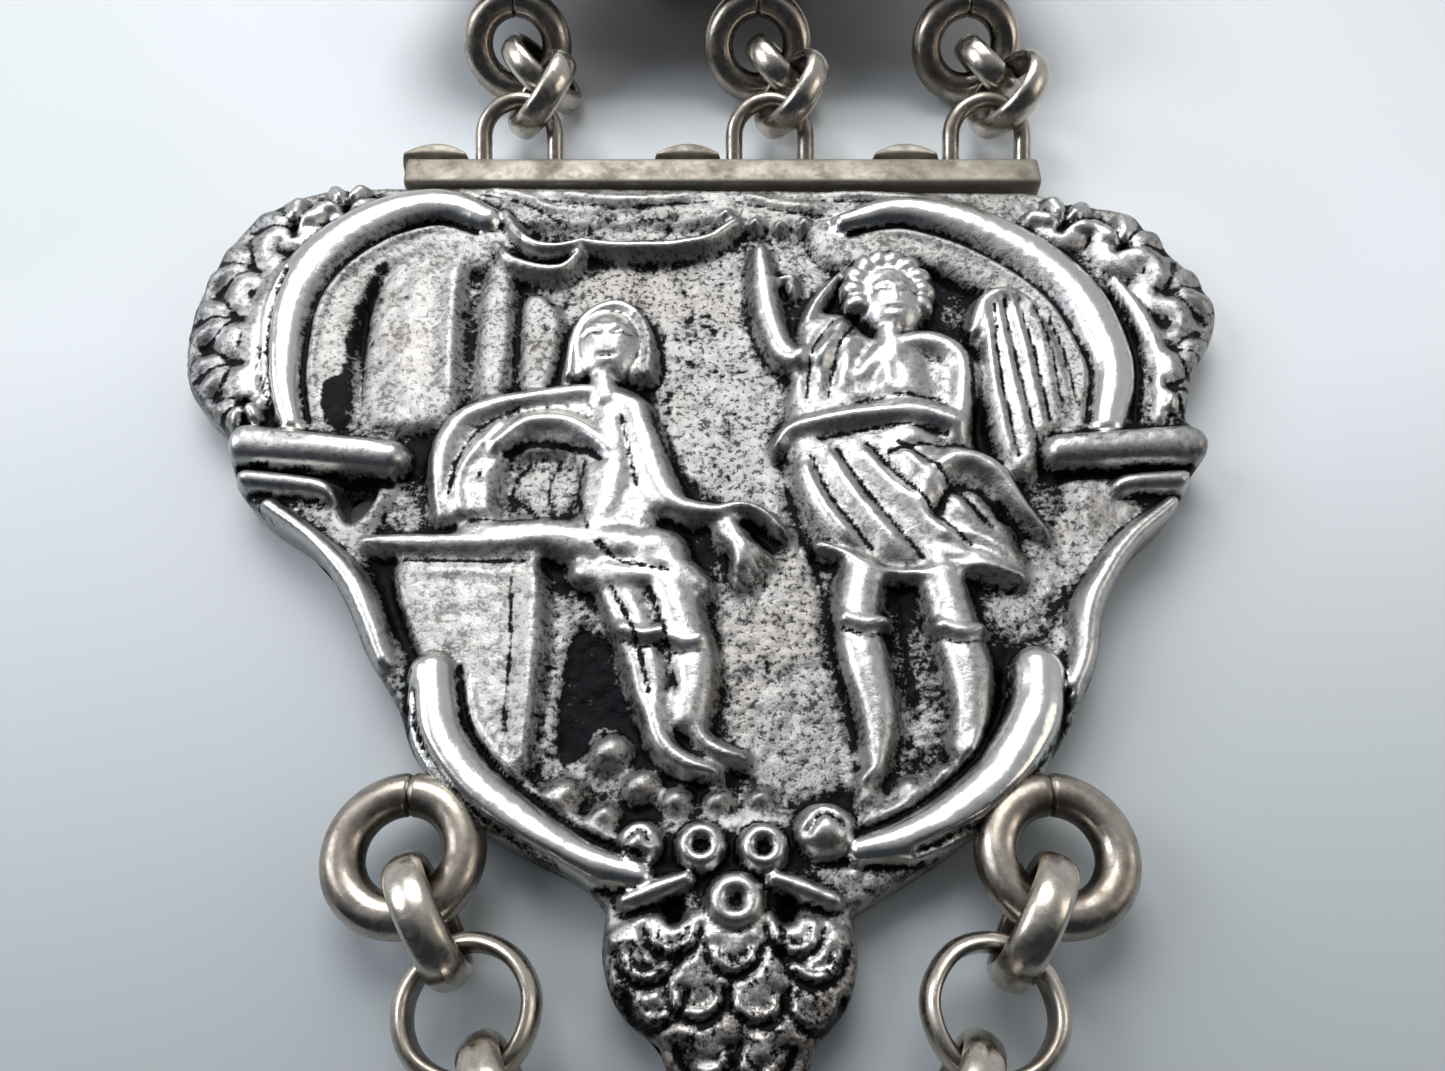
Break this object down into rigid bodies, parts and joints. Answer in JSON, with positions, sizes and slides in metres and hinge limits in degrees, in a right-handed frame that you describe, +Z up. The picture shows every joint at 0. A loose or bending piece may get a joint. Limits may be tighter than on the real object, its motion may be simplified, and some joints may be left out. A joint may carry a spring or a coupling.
{
  "type": "pocket watch chain",
  "caption": "Short silver pocket watch chain: belt hook plate, linked strands, a cast relief plaque with scroll rim, and a swivel watch clip.",
  "frame": {"origin": "on the table under the middle of the plaque, on the plaque's flat back", "axes": "+Y runs up the chain from the watch clip to the belt hook, +X to the right of a viewer looking down on the face, +Z up from the back to the face"},
  "size_m": [0.0436, 0.1053, 0.0072],
  "materials": {
    "oxidised_silver": "cast silver, oxidised dark in the recesses and worn bright on the high spots",
    "warm_silver": "drawn and soldered silver, lightly tarnished to a warm grey",
    "spring_steel": "bright drawn spring wire"
  },
  "bodies": {
    "plaque": {"plaque": "oxidised_silver", "left_plaque_ring": "warm_silver", "right_plaque_ring": "warm_silver", "rail": "warm_silver", "left_rail_eye": "warm_silver", "left_eye_shoe": "warm_silver", "centre_rail_eye": "warm_silver", "centre_eye_shoe": "warm_silver", "right_rail_eye": "warm_silver", "right_eye_shoe": "warm_silver"},
    "left_upper_link_1": {"left_upper_link_1": "warm_silver"},
    "left_upper_link_2": {"left_upper_link_2": "warm_silver"},
    "centre_upper_link_1": {"centre_upper_link_1": "warm_silver"},
    "centre_upper_link_2": {"centre_upper_link_2": "warm_silver"},
    "right_upper_link_1": {"right_upper_link_1": "warm_silver"},
    "right_upper_link_2": {"right_upper_link_2": "warm_silver"},
    "hook_plate": {"hook_plate": "oxidised_silver", "belt_hook": "warm_silver", "left_upper_ring": "warm_silver", "centre_upper_ring": "warm_silver", "right_upper_ring": "warm_silver"},
    "left_lower_link_1": {"left_lower_link_1": "warm_silver"},
    "left_lower_link_2": {"left_lower_link_2": "warm_silver"},
    "left_lower_link_3": {"left_lower_link_3": "warm_silver"},
    "left_lower_link_4": {"left_lower_link_4": "warm_silver"},
    "left_lower_link_5": {"left_lower_link_5": "warm_silver"},
    "left_lower_link_6": {"left_lower_link_6": "warm_silver"},
    "left_lower_link_7": {"left_lower_link_7": "warm_silver"},
    "right_lower_link_1": {"right_lower_link_1": "warm_silver"},
    "right_lower_link_2": {"right_lower_link_2": "warm_silver"},
    "right_lower_link_3": {"right_lower_link_3": "warm_silver"},
    "right_lower_link_4": {"right_lower_link_4": "warm_silver"},
    "right_lower_link_5": {"right_lower_link_5": "warm_silver"},
    "right_lower_link_6": {"right_lower_link_6": "warm_silver"},
    "right_lower_link_7": {"right_lower_link_7": "warm_silver"},
    "gather_ring": {"gather_ring": "warm_silver"},
    "swivel_post": {"swivel_post": "warm_silver"},
    "clip_body": {"clip_body": "warm_silver", "gate_pin": "spring_steel", "gate_spring": "spring_steel"},
    "clip_gate": {"clip_gate": "warm_silver"}
  },
  "joints": [
    {"name": "centre_upper_link_1_swing", "type": "hinge", "parent": "plaque", "child": "centre_upper_link_1", "pos_m": [0.00244, 0.02158, 0.00208], "axis": [1, 0, 0], "range_deg": [-12, 12]},
    {"name": "centre_upper_link_2_swing", "type": "hinge", "parent": "centre_upper_link_1", "child": "centre_upper_link_2", "pos_m": [0.00288, 0.02391, 0.00218], "axis": [1, 0, 0], "range_deg": [-12, 14]},
    {"name": "hook_plate_swing", "type": "hinge", "parent": "centre_upper_link_2", "child": "hook_plate", "pos_m": [0.00195, 0.02601, 0.00216], "axis": [1, 0, 0], "range_deg": [-8, 12]},
    {"name": "left_upper_link_1_swing", "type": "hinge", "parent": "plaque", "child": "left_upper_link_1", "pos_m": [-0.00946, 0.02158, 0.00208], "axis": [1, 0, 0], "range_deg": [-12, 12]},
    {"name": "left_upper_link_2_swing", "type": "hinge", "parent": "left_upper_link_1", "child": "left_upper_link_2", "pos_m": [-0.00902, 0.02391, 0.00218], "axis": [1, 0, 0], "range_deg": [-12, 14]},
    {"name": "right_upper_link_1_swing", "type": "hinge", "parent": "plaque", "child": "right_upper_link_1", "pos_m": [0.01274, 0.02158, 0.00208], "axis": [1, 0, 0], "range_deg": [-12, 12]},
    {"name": "right_upper_link_2_swing", "type": "hinge", "parent": "right_upper_link_1", "child": "right_upper_link_2", "pos_m": [0.01318, 0.02391, 0.00218], "axis": [1, 0, 0], "range_deg": [-12, 14]},
    {"name": "left_lower_link_1_swing", "type": "hinge", "parent": "plaque", "child": "left_lower_link_1", "pos_m": [-0.0101, -0.01371, 0.00209], "axis": [1, 0, 0], "range_deg": [-12, 14]},
    {"name": "left_lower_link_2_swing", "type": "hinge", "parent": "left_lower_link_1", "child": "left_lower_link_2", "pos_m": [-0.00866, -0.01628, 0.00226], "axis": [1, 0, 0], "range_deg": [-12, 14]},
    {"name": "left_lower_link_3_swing", "type": "hinge", "parent": "left_lower_link_2", "child": "left_lower_link_3", "pos_m": [-0.00723, -0.01887, 0.00226], "axis": [1, 0, 0], "range_deg": [-12, 14]},
    {"name": "left_lower_link_4_swing", "type": "hinge", "parent": "left_lower_link_3", "child": "left_lower_link_4", "pos_m": [-0.00587, -0.02149, 0.00226], "axis": [1, 0, 0], "range_deg": [-12, 14]},
    {"name": "left_lower_link_5_swing", "type": "hinge", "parent": "left_lower_link_4", "child": "left_lower_link_5", "pos_m": [-0.00455, -0.02414, 0.00226], "axis": [1, 0, 0], "range_deg": [-12, 14]},
    {"name": "left_lower_link_6_swing", "type": "hinge", "parent": "left_lower_link_5", "child": "left_lower_link_6", "pos_m": [-0.00329, -0.02681, 0.00226], "axis": [1, 0, 0], "range_deg": [-12, 14]},
    {"name": "left_lower_link_7_swing", "type": "hinge", "parent": "left_lower_link_6", "child": "left_lower_link_7", "pos_m": [-0.00206, -0.02951, 0.00226], "axis": [1, 0, 0], "range_deg": [-12, 14]},
    {"name": "right_lower_link_1_swing", "type": "hinge", "parent": "plaque", "child": "right_lower_link_1", "pos_m": [0.0101, -0.01371, 0.00209], "axis": [1, 0, 0], "range_deg": [-12, 14]},
    {"name": "right_lower_link_2_swing", "type": "hinge", "parent": "right_lower_link_1", "child": "right_lower_link_2", "pos_m": [0.00866, -0.01628, 0.00226], "axis": [1, 0, 0], "range_deg": [-12, 14]},
    {"name": "right_lower_link_3_swing", "type": "hinge", "parent": "right_lower_link_2", "child": "right_lower_link_3", "pos_m": [0.00723, -0.01887, 0.00226], "axis": [1, 0, 0], "range_deg": [-12, 14]},
    {"name": "right_lower_link_4_swing", "type": "hinge", "parent": "right_lower_link_3", "child": "right_lower_link_4", "pos_m": [0.00587, -0.02149, 0.00226], "axis": [1, 0, 0], "range_deg": [-12, 14]},
    {"name": "right_lower_link_5_swing", "type": "hinge", "parent": "right_lower_link_4", "child": "right_lower_link_5", "pos_m": [0.00455, -0.02414, 0.00226], "axis": [1, 0, 0], "range_deg": [-12, 14]},
    {"name": "right_lower_link_6_swing", "type": "hinge", "parent": "right_lower_link_5", "child": "right_lower_link_6", "pos_m": [0.00329, -0.02681, 0.00226], "axis": [1, 0, 0], "range_deg": [-12, 14]},
    {"name": "right_lower_link_7_swing", "type": "hinge", "parent": "right_lower_link_6", "child": "right_lower_link_7", "pos_m": [0.00206, -0.02951, 0.00226], "axis": [1, 0, 0], "range_deg": [-12, 14]},
    {"name": "gather_ring_swing", "type": "hinge", "parent": "left_lower_link_7", "child": "gather_ring", "pos_m": [-0.0012, -0.03146, 0.00232], "axis": [1, 0, 0], "range_deg": [-20, 20]},
    {"name": "swivel_swing", "type": "hinge", "parent": "gather_ring", "child": "swivel_post", "pos_m": [0, -0.037, 0.00175], "axis": [1, 0, 0], "range_deg": [-60, 60]},
    {"name": "clip_spin", "type": "hinge", "parent": "swivel_post", "child": "clip_body", "pos_m": [0, -0.0402, 0.00167], "axis": [0, 1, 0], "continuous": true},
    {"name": "gate_swing", "type": "hinge", "parent": "clip_body", "child": "clip_gate", "pos_m": [0.00265, -0.04405, 0.00167], "axis": [0, 0, 1], "range_deg": [-28, 0], "stiffness_Nm_per_rad": 0.004, "springref_deg": 11.46}
  ],
  "couplings": [
    {"joint": "left_upper_link_1_swing", "follows": "centre_upper_link_1_swing", "ratio": 1},
    {"joint": "left_upper_link_2_swing", "follows": "centre_upper_link_2_swing", "ratio": 1},
    {"joint": "right_upper_link_1_swing", "follows": "centre_upper_link_1_swing", "ratio": 1},
    {"joint": "right_upper_link_2_swing", "follows": "centre_upper_link_2_swing", "ratio": 1},
    {"joint": "right_lower_link_1_swing", "follows": "left_lower_link_1_swing", "ratio": 1},
    {"joint": "right_lower_link_2_swing", "follows": "left_lower_link_2_swing", "ratio": 1},
    {"joint": "right_lower_link_3_swing", "follows": "left_lower_link_3_swing", "ratio": 1},
    {"joint": "right_lower_link_4_swing", "follows": "left_lower_link_4_swing", "ratio": 1},
    {"joint": "right_lower_link_5_swing", "follows": "left_lower_link_5_swing", "ratio": 1},
    {"joint": "right_lower_link_6_swing", "follows": "left_lower_link_6_swing", "ratio": 1},
    {"joint": "right_lower_link_7_swing", "follows": "left_lower_link_7_swing", "ratio": 1}
  ]
}
